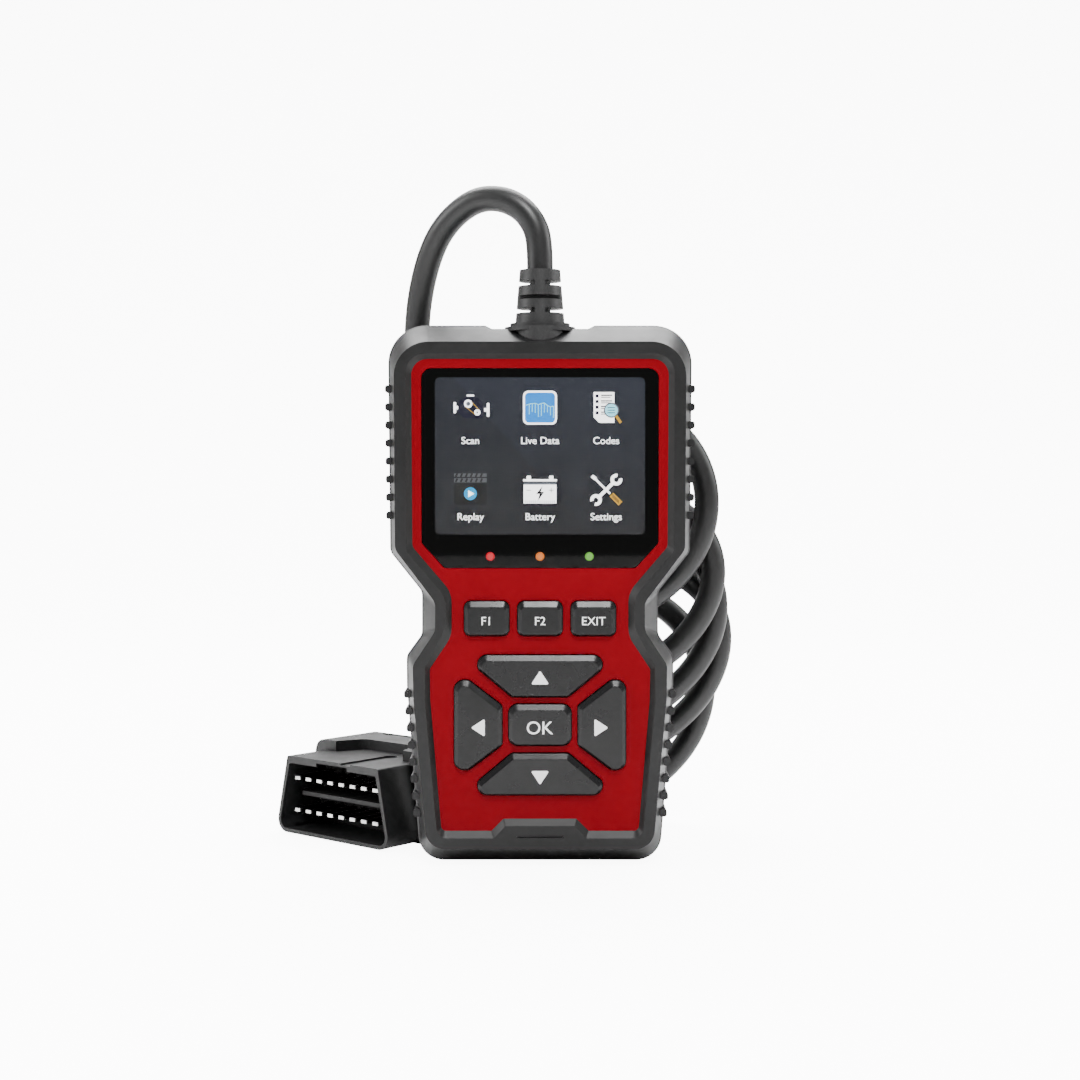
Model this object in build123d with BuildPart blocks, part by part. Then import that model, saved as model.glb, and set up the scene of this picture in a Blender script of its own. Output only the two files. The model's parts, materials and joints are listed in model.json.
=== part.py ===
"""Handheld OBD code reader with its diagnostic cord and sixteen-pin vehicle plug.

Millimetres. X runs to the right, the face looks along -Y, +Z is up. The reader stands on its
bottom end, and the origin is the middle of that end.
"""
from build123d import *
import math
import os

os.makedirs("parts", exist_ok=True)

# ---------------------------------------------------------------- driving dimensions
height = 125.0            # body, bottom end to top end
half_width = 35.6         # body at its widest, beside the screen
parting_y = -4.0          # where front and back case meet
rim_y = -10.8             # flat front of the rim
back_y = 11.0             # flat back
back_bevel_y = 7.0        # where the back edge starts to slope in
panel_front_y = -9.6      # red face panel
panel_back_y = -8.0
floor_back_y = -6.5       # inner side of the front wall
board_front_y = -1.6
board_back_y = 0.0
back_wall = 2.0
fit_gap = 0.15            # panel and lens in their recesses

key_front_y = -11.0
key_shoulder_y = -10.4    # where a key's edge starts to slope in
key_bevel = 0.85          # width of the slope at a key's sides
key_drop = 0.45           # the slope is this much wider along its top, narrower below
key_gap = 0.22            # round every key
key_flange = 0.6          # how far a key's hidden flange reaches past its edge
key_flange_front_y = -6.4
key_flange_back_y = -5.6
plunger_end_y = -2.6
plunger_radius = 1.9

screen_x = 24.3           # half the visible picture
screen_low_z = 76.2
screen_high_z = 112.6
led_z = 71.2
led_radius = 0.92
led_places = {"led_red": -11.5, "led_orange": 0.0, "led_green": 11.4}

boss_radius = 2.8
boss_places = [(30.4, 113.0), (-30.4, 113.0), (22.0, 9.0), (-22.0, 9.0)]
screw_radius = 1.3
screw_head_radius = 2.4

cord_diameter = 6.1
exit_y = -1.5             # axis of the strain relief
exit_top_z = 138.1

plug_turn = 41.0          # the plug's heading, from straight ahead
plug_face = (-51.2, 17.0)  # middle of the plug's mouth, on the floor
shroud_length = 20.0
shroud_low_z = 0.3
shroud_high_z = 19.6
shroud_bottom_half = 20.5
shroud_top_half = 16.3
shroud_wall = 1.0
mouth_depth = 13.0
pin_pitch = 4.0
pin_row_z = (6.0, 14.0)
pin_size = (1.8, 0.8)
pin_recess = 1.4
grip_start = 12.5
grip_end = 42.0
grip_half = 22.5
grip_high_z = 22.2
boot_end = 56.0
plug_axis_z = 10.0


def face_plane(y):
    """A plane square to Y at depth y, seen from the front: x to the right, y up."""
    return Plane.XZ.offset(-y)


def mirrored(half):
    """A closed outline from its right half, (x, z, corner radius) from top to bottom."""
    left = [(-x, z, r) for x, z, r in reversed(half)]
    return half + left


def outline(corners, grow=0.0):
    """A face with rounded corners (x, z, corner radius), grown or shrunk by a margin."""
    with BuildSketch() as face:
        with BuildLine():
            FilletPolyline([(x, z) for x, z, r in corners], radius=[r for x, z, r in corners], close=True)
        make_face()
        if grow:
            offset(amount=grow, mode=Mode.REPLACE)
    return face.sketch


def inset(corners, margin, drop=0.0):
    """The corners with every side moved in by a margin, and the whole moved down."""
    count = len(corners)
    area = sum(corners[i - 1][0] * corners[i][1] - corners[i][0] * corners[i - 1][1] for i in range(count))
    side = 1 if area > 0 else -1
    moved = []
    for i, (x, z, r) in enumerate(corners):
        before, after = corners[i - 1], corners[(i + 1) % count]
        one = Vector(x - before[0], z - before[1]).normalized()
        two = Vector(after[0] - x, after[1] - z).normalized()
        shift = margin * side / (1 + one.dot(two))
        moved.append((x - (one.Y + two.Y) * shift, z + (one.X + two.X) * shift - drop,
                      max(r - margin, 0.4)))
    return moved


def add_outline(corners, grow=0.0, mode=Mode.ADD):
    """Put an outline into the open sketch."""
    add(outline(corners, grow), mode=mode)


# ---------------------------------------------------------------- outlines (right halves)
body_half = [
    (half_width, height, 9.0), (35.05, 72.1, 3.0), (27.6, 62.8, 3.0), (27.6, 52.8, 3.0),
    (31.2, 47.9, 3.0), (31.15, 41.0, 0.5), (28.0, 0.0, 6.0),
]
rim_half = [
    (33.7, 120.7, 8.0), (33.35, 72.9, 3.0), (24.1, 60.75, 3.5), (24.1, 54.1, 3.5),
    (29.25, 46.3, 3.0), (29.1, 38.3, 0.5), (26.0, 4.0, 4.5),
]
back_half = [
    (33.4, 122.6, 7.5), (32.9, 73.0, 3.0), (25.4, 63.7, 3.0), (25.4, 51.9, 3.0),
    (28.9, 47.2, 3.0), (28.85, 41.0, 0.5), (25.8, 2.4, 5.0),
]
rim_inner_half = [
    (31.0, 118.0, 4.6), (30.8, 72.5, 2.5), (21.75, 62.0, 6.0), (21.75, 54.9, 6.0),
    (26.4, 46.0, 2.0), (26.55, 38.3, 0.5), (23.6, 6.47, 2.6), (10.6, 6.47, 0.4), (8.0, 9.32, 0.4),
]
panel_half = [
    (29.7, 116.8, 3.7), (29.4, 73.5, 2.0), (20.35, 62.9, 6.5), (20.35, 52.9, 6.5),
    (25.4, 45.3, 1.5), (25.3, 38.3, 0.5), (22.7, 8.0, 1.2), (11.2, 8.0, 0.4), (8.4, 10.8, 0.4),
]
front_cavity_half = [
    (33.0, 121.0, 6.6), (32.6, 73.0, 2.5), (24.6, 62.9, 2.5), (24.6, 53.3, 2.5),
    (28.4, 48.0, 2.5), (28.4, 41.0, 0.5), (25.2, 3.6, 4.0),
]
back_cavity_half = [
    (33.4, 122.6, 6.8), (32.85, 73.0, 2.5), (25.4, 63.7, 2.5), (25.4, 52.0, 2.5),
    (29.0, 47.2, 2.5), (28.95, 41.0, 0.5), (25.8, 2.2, 4.0),
]
board_half = [
    (32.0, 117.0, 5.0), (31.4, 73.4, 1.0), (23.8, 64.0, 1.0), (23.8, 51.6, 1.0),
    (27.4, 46.8, 1.0), (27.3, 41.0, 0.5), (24.6, 4.6, 2.0),
]
lens_half = [(27.3, 114.55, 2.3), (27.2, 74.4, 0.6), (22.0, 68.65, 1.0)]
screen_mid_z = (screen_low_z + screen_high_z) / 2

# keys: outline corners (x, z, corner radius) seen from the front
soft_key_size = (10.2, 7.9)
soft_key_z = 56.95
soft_key_step = 12.3
pad_z = 32.4
up_corners = [(14.3, 48.5, 2.2), (14.3, 45.4, 1.6), (6.5, 38.9, 1.2), (-6.5, 38.9, 1.2),
              (-14.3, 45.4, 1.6), (-14.3, 48.5, 2.2)]
right_corners = [(19.7, 42.7, 2.2), (16.4, 42.7, 1.8), (8.8, 36.9, 1.2), (8.8, 27.8, 1.2),
                 (16.4, 22.1, 1.8), (19.7, 22.1, 2.2)]


def box_corners(x, z, width, tall, radius):
    """Four rounded corners of an upright rectangle."""
    across, up = width / 2, tall / 2
    return [(x + across, z + up, radius), (x + across, z - up, radius),
            (x - across, z - up, radius), (x - across, z + up, radius)]


keys = {
    "key_f1": box_corners(-soft_key_step, soft_key_z, *soft_key_size, 1.5),
    "key_f2": box_corners(0, soft_key_z, *soft_key_size, 1.5),
    "key_exit": box_corners(soft_key_step, soft_key_z, *soft_key_size, 1.5),
    "key_up": up_corners,
    "key_down": [(x, 2 * pad_z - z, r) for x, z, r in reversed(up_corners)],
    "key_right": right_corners,
    "key_left": [(-x, z, r) for x, z, r in reversed(right_corners)],
    "key_ok": box_corners(0, 32.45, 14.3, 9.5, 2.1),
}


def middle_of(corners):
    """The middle of a key: where its plunger stands."""
    xs = [x for x, z, r in corners]
    zs = [z for x, z, r in corners]
    return (min(xs) + max(xs)) / 2, (min(zs) + max(zs)) / 2


def save(builder, name):
    """Label one finished sub-part and write it out."""
    builder.part.label = name
    export_step(builder.part, f"parts/{name}.step")


# ---------------------------------------------------------------- strain relief sizes
collar_radius = 8.3
collar_low_z = 120.2
collar_flange_z = 123.6   # the collar is round above this, oval below
collar_high_z = 124.6
collar_oval_half = 6.4
collar_oval_deep = 8.6
disc_radius = 7.0
disc_high_z = 125.5
neck_radius = 6.0
flange_radius = 7.6
flange_low_z = 117.0
flange_high_z = 118.6
tail_low_radius = 5.8
tail_high_radius = 4.76
seat_half = 11.0          # the block inside the case that holds the relief
relief_gap = 0.05


def relief_plane(z):
    """A level plane centred on the cord's exit."""
    return Plane(origin=(0, exit_y, z), x_dir=(1, 0, 0), z_dir=(0, 0, 1))


# ---------------------------------------------------------------- front case
rib_size = 1.75
rib_round = 0.6
rib_out = 0.55
rib_front_y = -7.0
rib_back_y = 6.2
upper_rib_z = [110.0 - 4.19 * i for i in range(8)]
lower_rib_z = [39.2 - 3.94 * i for i in range(8)]
parting_step = 0.35       # the two cases' edges slope in this much where they meet


def flank_x(z):
    """Half width of the body's flank at height z, beside the ribs."""
    if z > 60:
        return 35.05 + (half_width - 35.05) * (z - 72.1) / (height - 72.1)
    return 28.0 + (31.15 - 28.0) * z / 41.0


def add_ribs(front, back):
    """Grip ribs across both flanks, between two depths."""
    with BuildPart(mode=Mode.PRIVATE) as ribs:
        with BuildSketch(face_plane(back)):
            for z in upper_rib_z + lower_rib_z:
                for side in (-1, 1):
                    with Locations((side * (flank_x(z) + rib_out - rib_size / 2), z)):
                        RectangleRounded(rib_size, rib_size, rib_round)
        extrude(amount=back - front)
    return ribs.part


with BuildPart() as front_case:
    with BuildSketch(face_plane(parting_y)):
        add_outline(inset(mirrored(body_half), parting_step))
    with BuildSketch(face_plane(rim_y)):
        add_outline(mirrored(rim_half))
    loft(ruled=True)
    add(add_ribs(rib_front_y, parting_y))
    # dark slope down to the face panel, then the panel's recess
    with BuildSketch(face_plane(panel_front_y)):
        add_outline(mirrored(panel_half))
    with BuildSketch(face_plane(rim_y)):
        add_outline(mirrored(rim_inner_half))
    loft(ruled=True, mode=Mode.SUBTRACT)
    with BuildSketch(face_plane(panel_back_y)):
        add_outline(mirrored(panel_half), 0.05)
    extrude(amount=panel_back_y - panel_front_y, mode=Mode.SUBTRACT)
    # inside
    with BuildSketch(face_plane(parting_y)):
        add_outline(mirrored(front_cavity_half))
    extrude(amount=parting_y - floor_back_y, mode=Mode.SUBTRACT)
    with BuildSketch(face_plane(floor_back_y)):
        for corners in keys.values():
            add_outline(corners, key_gap)
    extrude(amount=floor_back_y - panel_back_y, mode=Mode.SUBTRACT)
    with BuildSketch(face_plane(floor_back_y)):
        with Locations((0, screen_mid_z - 0.2)):
            RectangleRounded(53.6, 40.6, 0.6)
        with Locations(*[(x, led_z) for x in led_places.values()]):
            Circle(led_radius + 0.15)
    extrude(amount=floor_back_y - panel_back_y, mode=Mode.SUBTRACT)
    # screw bosses reach back to the board
    with BuildSketch(face_plane(floor_back_y)):
        with Locations(*boss_places):
            Circle(boss_radius)
    extrude(amount=floor_back_y - board_front_y)
    with BuildSketch(face_plane(board_front_y)):
        with Locations(*boss_places):
            Circle(screw_radius)
    extrude(amount=4.0, mode=Mode.SUBTRACT)
    # seat of the strain relief
    with BuildSketch(face_plane(parting_y)):
        with Locations((0, (flange_high_z + 122.0) / 2)):
            Rectangle(2 * seat_half, 122.0 - flange_high_z)
    extrude(amount=parting_y - floor_back_y)
    with BuildSketch(relief_plane(flange_low_z)):
        Circle(flange_radius + 0.3)
    extrude(amount=flange_high_z - flange_low_z, mode=Mode.SUBTRACT)
    with BuildSketch(relief_plane(flange_low_z)):
        Circle(neck_radius + relief_gap)
    extrude(amount=10, mode=Mode.SUBTRACT)
    with BuildSketch(relief_plane(collar_low_z)):
        Ellipse(collar_oval_half + relief_gap, collar_oval_deep + relief_gap)
    extrude(amount=8, mode=Mode.SUBTRACT)
    with BuildSketch(relief_plane(collar_flange_z)):
        Circle(collar_radius + relief_gap)
    extrude(amount=5, mode=Mode.SUBTRACT)
    # thumb notch in the top end, and the engraved slot in the lower tab
    with BuildSketch(face_plane(parting_y)):
        with BuildLine():
            Polyline((-12.8, height + 1), (-12.8, height), (-11.2, 124.1), (11.2, 124.1),
                     (12.8, height), (12.8, height + 1), close=True)
        make_face()
    extrude(amount=5, mode=Mode.SUBTRACT)
    with BuildSketch(face_plane(rim_y)):
        with Locations((0, 6.9)):
            SlotOverall(10.6, 0.7)
    extrude(amount=-0.5, mode=Mode.SUBTRACT)
save(front_case, "front_case")

# ---------------------------------------------------------------- back case
parting_slope = 0.5       # depth of the back case's sloping front edge

with BuildPart() as back_case:
    with BuildSketch(face_plane(back_bevel_y)):
        add_outline(mirrored(body_half))
    extrude(amount=back_bevel_y - parting_y - parting_slope)
    with BuildSketch(face_plane(parting_y + parting_slope)):
        add_outline(mirrored(body_half))
    with BuildSketch(face_plane(parting_y)):
        add_outline(inset(mirrored(body_half), parting_step))
    loft(ruled=True)
    with BuildSketch(face_plane(back_y)):
        add_outline(mirrored(back_half))
    with BuildSketch(face_plane(back_bevel_y)):
        add_outline(mirrored(body_half))
    loft(ruled=True)
    with BuildSketch(face_plane(back_y - back_wall - 1.5)):
        add_outline(mirrored(back_cavity_half))
    extrude(amount=20, mode=Mode.SUBTRACT)
    with BuildSketch(face_plane(back_y - back_wall)):
        add_outline(mirrored(front_cavity_half), -1.4)
    extrude(amount=20, mode=Mode.SUBTRACT)
    add(add_ribs(parting_y, rib_back_y))
    # bosses up to the board
    with BuildSketch(face_plane(back_y - back_wall)):
        with Locations(*boss_places):
            Circle(boss_radius)
    extrude(amount=back_y - back_wall - board_back_y)
    with BuildSketch(face_plane(back_y)):
        with Locations(*boss_places):
            Circle(screw_radius + 0.15)
    extrude(amount=back_y - board_back_y, mode=Mode.SUBTRACT)
    with BuildSketch(face_plane(back_y)):
        with Locations(*boss_places):
            Circle(screw_head_radius + 0.2)
    extrude(amount=3.0, mode=Mode.SUBTRACT)
    # seat of the strain relief
    with BuildSketch(face_plane(parting_y)):
        with Locations((0, (flange_high_z + 123.5) / 2)):
            Rectangle(2 * seat_half, 123.5 - flange_high_z)
    extrude(amount=-(back_y - back_wall - 1.0 - parting_y))
    with BuildSketch(relief_plane(flange_low_z)):
        Circle(neck_radius + relief_gap)
    extrude(amount=10, mode=Mode.SUBTRACT)
    with BuildSketch(relief_plane(collar_low_z)):
        Ellipse(collar_oval_half + relief_gap, collar_oval_deep + relief_gap)
    extrude(amount=8, mode=Mode.SUBTRACT)
    with BuildSketch(relief_plane(collar_flange_z)):
        Circle(collar_radius + relief_gap)
    extrude(amount=5, mode=Mode.SUBTRACT)
    with BuildSketch(face_plane(back_y)):
        with BuildLine():
            Polyline((-12.8, height + 1), (-12.8, height), (-11.2, 124.1), (11.2, 124.1),
                     (12.8, height), (12.8, height + 1), close=True)
        make_face()
    extrude(amount=back_y - parting_y, mode=Mode.SUBTRACT)
    # shallow recess for the label
    with BuildSketch(face_plane(back_y)):
        with Locations((0, 92)):
            RectangleRounded(44.4, 30.4, 2.2)
    extrude(amount=0.4, mode=Mode.SUBTRACT)
save(back_case, "back_case")

with BuildPart() as back_label:
    with BuildSketch(face_plane(back_y - 0.1)):
        with Locations((0, 92)):
            RectangleRounded(44, 30, 2)
    extrude(amount=0.3)
save(back_label, "back_label")

with BuildPart() as case_screws:
    with BuildSketch(face_plane(back_y - 0.6)):
        with Locations(*boss_places):
            Circle(screw_head_radius)
    extrude(amount=2.3)
    with BuildSketch(face_plane(back_y - 2.9)):
        with Locations(*boss_places):
            Circle(screw_radius)
    extrude(amount=13.0)
    with BuildSketch(face_plane(back_y - 0.6)):
        with Locations(*boss_places):
            with Locations((0, 0)):
                Rectangle(2.6, 0.6)
            with Locations((0, 0)):
                Rectangle(0.6, 2.6)
    extrude(amount=1.2, mode=Mode.SUBTRACT)
save(case_screws, "case_screws")

# ---------------------------------------------------------------- face panel, lens, screen
with BuildPart() as face_panel:
    with BuildSketch(face_plane(panel_back_y)):
        add_outline(mirrored(panel_half))
    extrude(amount=panel_back_y - panel_front_y)
    with BuildSketch(face_plane(panel_back_y)):
        add_outline(mirrored(lens_half), fit_gap)
    extrude(amount=5, mode=Mode.SUBTRACT)
    with BuildSketch(face_plane(panel_back_y)):
        for corners in keys.values():
            add_outline(corners, key_gap)
    extrude(amount=5, mode=Mode.SUBTRACT)
save(face_panel, "face_panel")

lens_back_y = -8.3
lens_front_y = -9.5
with BuildPart() as screen_lens:
    with BuildSketch(face_plane(lens_back_y)):
        add_outline(mirrored(lens_half))
        with Locations(*[(x, led_z) for x in led_places.values()]):
            Circle(led_radius + 0.05, mode=Mode.SUBTRACT)
    extrude(amount=lens_back_y - lens_front_y)
save(screen_lens, "screen_lens")

with BuildPart() as lens_gasket:
    with BuildSketch(face_plane(panel_back_y)):
        add_outline(mirrored(lens_half))
        with Locations((0, screen_mid_z)):
            RectangleRounded(2 * screen_x, screen_high_z - screen_low_z, 1.2, mode=Mode.SUBTRACT)
        with Locations(*[(x, led_z) for x in led_places.values()]):
            Circle(led_radius + 0.1, mode=Mode.SUBTRACT)
    extrude(amount=panel_back_y - lens_back_y)
save(lens_gasket, "lens_gasket")

glass_back_y = -6.6
with BuildPart() as lcd_glass:
    with BuildSketch(face_plane(glass_back_y)):
        with Locations((0, screen_mid_z - 0.2)):
            Rectangle(53.2, 40.2)
    extrude(amount=1.3)
save(lcd_glass, "lcd_glass")

frame_back_y = -3.6
with BuildPart() as lcd_frame:
    with BuildSketch(face_plane(frame_back_y)):
        with Locations((0, screen_mid_z)):
            RectangleRounded(54.6, 42.4, 1.0)
    extrude(amount=2.8)
    with BuildSketch(face_plane(frame_back_y - 0.6)):
        with Locations((0, screen_mid_z)):
            Rectangle(52.6, 40.4)
    extrude(amount=4, mode=Mode.SUBTRACT)
save(lcd_frame, "lcd_frame")

with BuildPart() as lcd_backlight:
    with BuildSketch(face_plane(frame_back_y - 0.65)):
        with Locations((0, screen_mid_z)):
            Rectangle(52.2, 40.0)
    extrude(amount=2.2)
save(lcd_backlight, "lcd_backlight")

flex_width = 18.0
flex_thick = 0.2
flex_low_z = 75.0
with BuildPart() as lcd_flex:
    with BuildSketch(Plane.YZ.offset(-flex_width / 2)):
        with Locations(((frame_back_y + board_front_y) / 2, flex_low_z)):
            Rectangle(board_front_y - frame_back_y, 13, align=(Align.CENTER, Align.MIN))
            Rectangle(board_front_y - frame_back_y - 2 * flex_thick, 20, align=(Align.CENTER, Align.CENTER),
                      mode=Mode.SUBTRACT)
        with Locations(((frame_back_y + board_front_y) / 2, flex_low_z)):
            Rectangle(board_front_y - frame_back_y, flex_thick, align=(Align.CENTER, Align.MIN))
    extrude(amount=flex_width)
save(lcd_flex, "lcd_flex")

# ---------------------------------------------------------------- lights
for led_name, led_x in led_places.items():
    with BuildPart() as led:
        with BuildSketch(face_plane(board_front_y)):
            with Locations((led_x, led_z)):
                Rectangle(2.6, 2.6)
        extrude(amount=1.4)
        with BuildSketch(face_plane(board_front_y - 1.4)):
            with Locations((led_x, led_z)):
                Circle(led_radius)
        extrude(amount=board_front_y - 1.4 - lens_front_y - 0.1)
        fillet(led.edges().group_by(Axis.Y)[0], 0.3)
    save(led, led_name)

# ---------------------------------------------------------------- keys
key_edge_round = 0.3
for key_name, corners in keys.items():
    with BuildPart() as cap:
        with BuildSketch(face_plane(key_shoulder_y)):
            add_outline(corners)
        with BuildSketch(face_plane(key_front_y)):
            add_outline(inset(corners, key_bevel, key_drop))
        loft(ruled=True)
        fillet(cap.edges().group_by(Axis.Y)[0], key_edge_round)
        with BuildSketch(face_plane(key_flange_back_y)):
            add_outline(corners)
        extrude(amount=key_flange_back_y - key_shoulder_y)
        with BuildSketch(face_plane(key_flange_back_y)):
            add_outline(corners, key_flange)
        extrude(amount=key_flange_back_y - key_flange_front_y)
    save(cap, key_name)
    with BuildPart() as plunger:
        with BuildSketch(face_plane(key_flange_back_y)):
            with Locations(middle_of(corners)):
                Circle(plunger_radius)
        extrude(amount=key_flange_back_y - plunger_end_y)
    save(plunger, key_name.replace("key_", "plunger_"))

# ---------------------------------------------------------------- board and what is on it
key_middles = [middle_of(corners) for corners in keys.values()]
with BuildPart() as main_board:
    with BuildSketch(face_plane(board_back_y)):
        add_outline(mirrored(board_half))
        with Locations(*boss_places):
            Circle(screw_radius + 0.3, mode=Mode.SUBTRACT)
    extrude(amount=board_back_y - board_front_y)
save(main_board, "main_board")

mat_front_y = -2.8
with BuildPart() as keypad_mat:
    with BuildSketch(face_plane(board_front_y)):
        with Locations((0, 38.4)):
            RectangleRounded(44.0, 47.0, 3.0)
        with Locations((0, 8.5)):
            Rectangle(30, 6, mode=Mode.SUBTRACT)
        with Locations(*key_middles):
            Circle(plunger_radius + 0.6, mode=Mode.SUBTRACT)
    extrude(amount=board_front_y - mat_front_y)
save(keypad_mat, "keypad_mat")

with BuildPart() as key_contacts:
    with BuildSketch(face_plane(board_front_y)):
        with Locations(*key_middles):
            Circle(plunger_radius + 0.3)
    extrude(amount=0.08)
save(key_contacts, "key_contacts")


def board_part(name, places, width, tall, thick, radius=0.0):
    """A component, or a group of them, on the back of the board."""
    with BuildPart() as piece:
        with BuildSketch(face_plane(board_back_y)):
            with Locations(*places):
                if radius:
                    Circle(radius)
                else:
                    Rectangle(width, tall)
        extrude(amount=-thick)
        chamfer(piece.edges().group_by(Axis.Y)[-1], 0.15)
    save(piece, name)


board_part("processor", [(0, 84)], 14, 14, 1.4)
board_part("memory_chip", [(17, 86)], 8, 5.2, 1.6)
board_part("can_transceiver", [(-8, 104)], 5, 4, 1.5)
board_part("voltage_regulator", [(14, 104)], 6.6, 6.1, 2.2)
board_part("inductor", [(22.5, 102)], 7, 7, 3.2)
board_part("crystal", [(-15.5, 84)], 4.2, 10.8, 3.4)
board_part("capacitors", [(-22, 100), (-22, 92)], 0, 0, 6.2, 3.0)

with BuildPart() as buzzer:
    with BuildSketch(face_plane(board_back_y)):
        with Locations((0, 33)):
            Circle(6.0)
    extrude(amount=-6.0)
    with BuildSketch(face_plane(6.0)):
        with Locations((0, 33)):
            Circle(1.0)
    extrude(amount=1.5, mode=Mode.SUBTRACT)
save(buzzer, "buzzer")

header_z = 109.5
with BuildPart() as wire_header:
    with BuildSketch(face_plane(board_back_y)):
        with Locations((0, header_z - 1)):
            Rectangle(14, 5)
    extrude(amount=-4.6)
    with BuildSketch(Plane.XY.offset(header_z + 1.5)):
        with Locations((0, 2.5)):
            Rectangle(12.4, 2.8)
    extrude(amount=-3.4, mode=Mode.SUBTRACT)
save(wire_header, "wire_header")

with BuildPart() as wire_plug:
    with BuildSketch(Plane.XY.offset(header_z - 1.8)):
        with Locations((0, 2.5)):
            Rectangle(12.2, 2.6)
    extrude(amount=5.4)
save(wire_plug, "wire_plug")

lead_count = 4
lead_pitch = 2.5
lead_radius = 0.6
with BuildPart() as wire_leads:
    for i in range(lead_count):
        x = (i - (lead_count - 1) / 2) * lead_pitch
        with BuildSketch(Plane.XY.offset(header_z + 3.6)):
            with Locations((x, 2.5)):
                Circle(lead_radius)
        with BuildSketch(Plane.XY.offset(flange_low_z)):
            with Locations((x * 0.8, exit_y + 3.4)):
                Circle(lead_radius)
        loft(ruled=True)
save(wire_leads, "wire_leads")

# ---------------------------------------------------------------- strain relief
slot_side_z = (127.9, 134.3)
slot_front_z = 131.1
slot_tall = 1.15
slot_front_tall = 0.9
spine_half = 2.4
pocket_x = 1.6            # small square pockets in the spine, level with the side slots
pocket_size = 0.8
with BuildPart() as strain_relief:
    with BuildSketch(relief_plane(flange_low_z)):
        Circle(flange_radius)
    extrude(amount=flange_high_z - flange_low_z)
    with BuildSketch(relief_plane(flange_low_z)):
        Circle(neck_radius)
    extrude(amount=collar_high_z - flange_low_z)
    with BuildSketch(relief_plane(collar_low_z)):
        Ellipse(collar_oval_half, collar_oval_deep)
    extrude(amount=collar_high_z - collar_low_z)
    with BuildSketch(relief_plane(collar_flange_z)):
        Circle(collar_radius)
    extrude(amount=collar_high_z - collar_flange_z)
    with BuildSketch(relief_plane(collar_high_z)):
        Circle(disc_radius)
    extrude(amount=disc_high_z - collar_high_z)
    with BuildSketch(relief_plane(disc_high_z)):
        Circle(tail_low_radius)
    with BuildSketch(relief_plane(exit_top_z)):
        Circle(tail_high_radius)
    loft(ruled=True)
    for z in slot_side_z:
        with BuildSketch(relief_plane(z)):
            with Locations((spine_half + 5, 0), (-spine_half - 5, 0)):
                Rectangle(10, 20)
            with Locations((pocket_x, -tail_low_radius), (-pocket_x, -tail_low_radius)):
                Rectangle(pocket_size, 3)
        extrude(amount=slot_tall, mode=Mode.SUBTRACT)
    with BuildSketch(relief_plane(slot_front_z)):
        with Locations((0, spine_half + 5), (0, -spine_half - 5)):
            Rectangle(20, 10)
    extrude(amount=slot_front_tall, mode=Mode.SUBTRACT)
save(strain_relief, "strain_relief")

# ---------------------------------------------------------------- plug
heading = math.radians(plug_turn)
plug_out = (-math.sin(heading), -math.cos(heading), 0)   # the way the plug goes in
plug_across = (math.cos(heading), -math.sin(heading), 0)


def plug_plane(depth):
    """A plane square to the plug, this far behind its mouth: x across, y up, z out of the mouth."""
    origin = (plug_face[0] - plug_out[0] * depth, plug_face[1] - plug_out[1] * depth, 0)
    return Plane(origin=origin, x_dir=plug_across, z_dir=plug_out)


shroud_corners = [(shroud_top_half, shroud_high_z, 0.8), (shroud_bottom_half, shroud_low_z, 3.2)]
cavity_top_z = shroud_high_z - 1.8
cavity_corners = [(shroud_top_half - 0.75, cavity_top_z, 0.6),
                  (shroud_bottom_half - 1.1, shroud_low_z + shroud_wall, 2.2)]
groove_width = 11.0       # raised groove in the roof of the mouth
groove_top_z = shroud_high_z - 0.9
with BuildPart() as plug_shell:
    with BuildSketch(plug_plane(shroud_length)):
        add_outline(mirrored(shroud_corners))
    extrude(amount=shroud_length)
    with BuildSketch(plug_plane(shroud_length)):
        add_outline(mirrored(cavity_corners))
        with Locations((0, groove_top_z)):
            Rectangle(groove_width, 3.0, align=(Align.CENTER, Align.MAX))
    extrude(amount=shroud_length, mode=Mode.SUBTRACT)
    # shallow channel in the roof, open at the mouth
    with BuildSketch(Plane(origin=plug_plane(0).origin + Vector(0, 0, shroud_high_z),
                           x_dir=plug_across, z_dir=(0, 0, 1))):
        with Locations((5.0, 0)):
            SlotOverall(34, 3.4, rotation=90)
    extrude(amount=-0.45, mode=Mode.SUBTRACT)
save(plug_shell, "plug_shell")

insert_gap = 0.02
with BuildPart() as plug_insert:
    with BuildSketch(plug_plane(shroud_length)):
        add_outline(mirrored(cavity_corners), -insert_gap)
    extrude(amount=shroud_length - mouth_depth)
    with BuildSketch(plug_plane(mouth_depth)):
        with Locations((0, plug_axis_z)):
            Rectangle(29, 1.0)
    extrude(amount=mouth_depth - 3.5)
    with BuildSketch(plug_plane(shroud_length)):
        for z in pin_row_z:
            with Locations((0, z)):
                with GridLocations(pin_pitch, 1, 8, 1):
                    Rectangle(pin_size[0] + 2 * insert_gap, pin_size[1] + 2 * insert_gap)
    extrude(amount=shroud_length, mode=Mode.SUBTRACT)
save(plug_insert, "plug_insert")

with BuildPart() as plug_pins:
    with BuildSketch(plug_plane(shroud_length + 1.5)):
        for z in pin_row_z:
            with Locations((0, z)):
                with GridLocations(pin_pitch, 1, 8, 1):
                    Rectangle(*pin_size)
    extrude(amount=shroud_length + 1.5 - pin_recess)
save(plug_pins, "plug_pins")

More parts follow.
